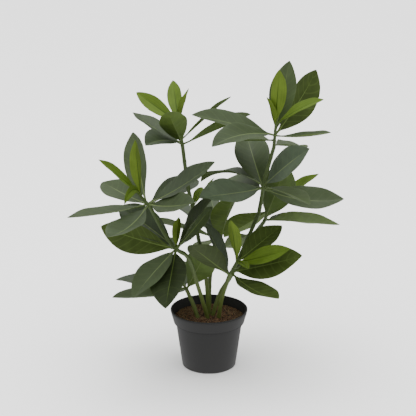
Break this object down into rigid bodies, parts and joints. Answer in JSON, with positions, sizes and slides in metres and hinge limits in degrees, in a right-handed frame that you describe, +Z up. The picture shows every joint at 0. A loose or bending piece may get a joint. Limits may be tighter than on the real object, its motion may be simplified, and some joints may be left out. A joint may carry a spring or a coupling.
{
  "type": "artificial laurel in a pot",
  "caption": "Artificial bay laurel: whorls of broad leaves on slender leaning stems that rise from granular soil in a plain dark plastic nursery pot.",
  "frame": {"origin": "middle of the flat underside of the pot, on the surface it stands on", "axes": "+Z up, -Y towards the viewer of the picture, +X to the right of the picture"},
  "size_m": [0.4054, 0.3445, 0.4794],
  "materials": {
    "pot": "fine satin, dark charcoal",
    "soil": "coarse brown granules",
    "stem": "satin green, slightly ridged",
    "leaves": "smooth coated cloth with a printed midrib, grey-green above and brighter below"
  },
  "bodies": {
    "root": {"bough_left_outer": "stem", "bough_left_top": "stem", "bough_right_back": "stem", "bough_right_middle": "stem", "bough_right_top": "stem", "leaves_left_middle": "leaves", "leaves_left_outer": "leaves", "leaves_left_shoot": "leaves", "leaves_left_top": "leaves", "leaves_low_left": "leaves", "leaves_middle_back": "leaves", "leaves_right_back": "leaves", "leaves_right_fork": "leaves", "leaves_right_front": "leaves", "leaves_right_middle": "leaves", "leaves_right_top": "leaves", "pot": "pot", "soil": "soil", "stem_left": "stem", "stem_left_tall": "stem", "stem_low_left": "stem", "stem_middle": "stem", "stem_right_front": "stem", "stem_right_tall": "stem"}
  },
  "joints": []
}
